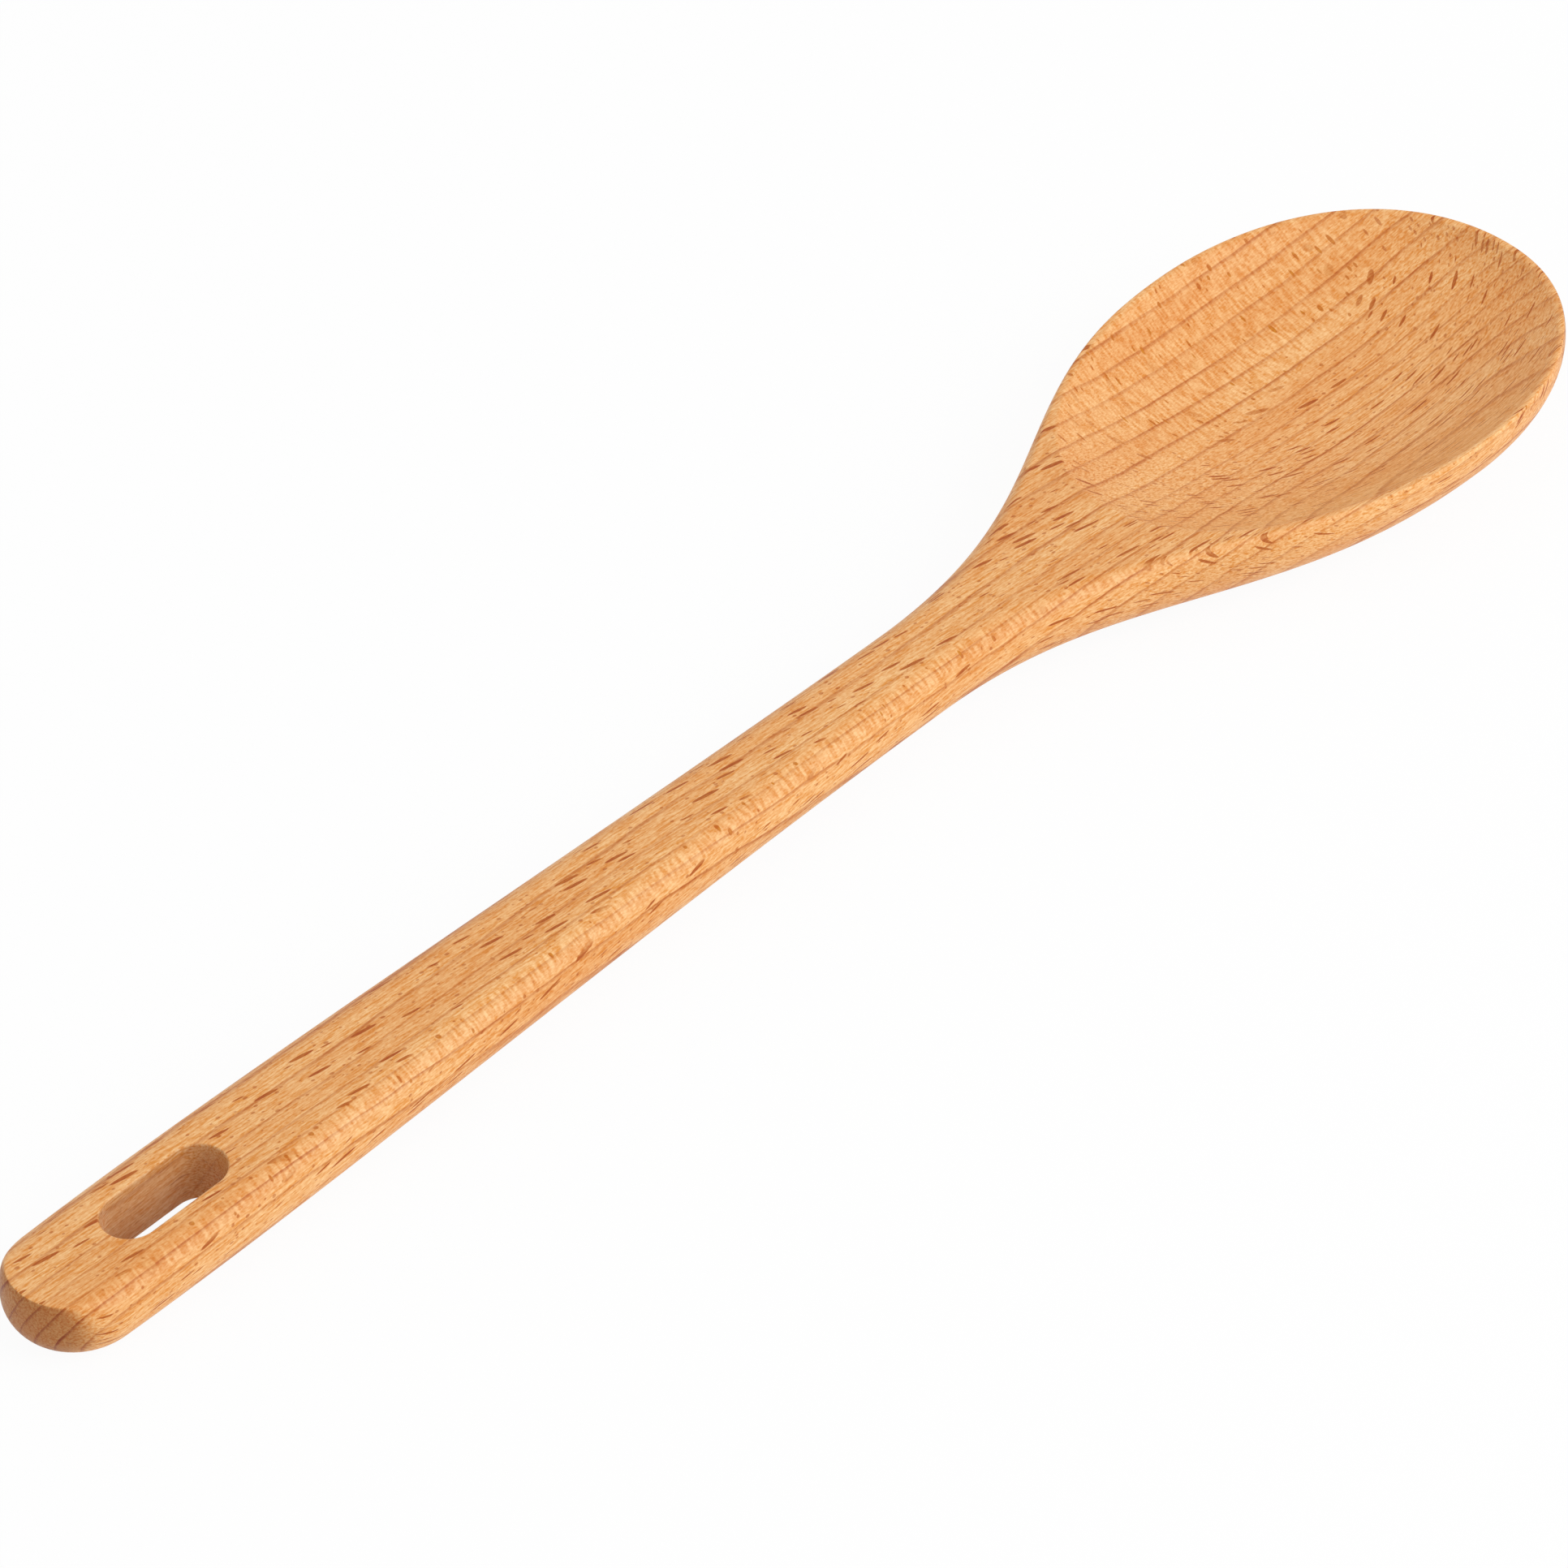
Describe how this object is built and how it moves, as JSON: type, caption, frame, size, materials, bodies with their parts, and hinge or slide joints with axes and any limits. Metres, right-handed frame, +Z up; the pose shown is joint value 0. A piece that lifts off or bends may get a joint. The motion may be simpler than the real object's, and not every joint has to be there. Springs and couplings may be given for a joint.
{
  "type": "wooden cooking spoon",
  "caption": "Carved beech cooking spoon with an egg-shaped hollow bowl, a flared neck, a flat round-edged handle and a hanging slot near the handle's end.",
  "frame": {"origin": "under the middle of the spoon, on the surface that it rests on", "axes": "+X from the handle's end to the tip of the bowl, +Z up out of the hollow"},
  "size_m": [0.305, 0.0624, 0.0148],
  "materials": {
    "beech": "oiled satin"
  },
  "bodies": {
    "root": {"spoon_body": "beech"}
  },
  "joints": []
}
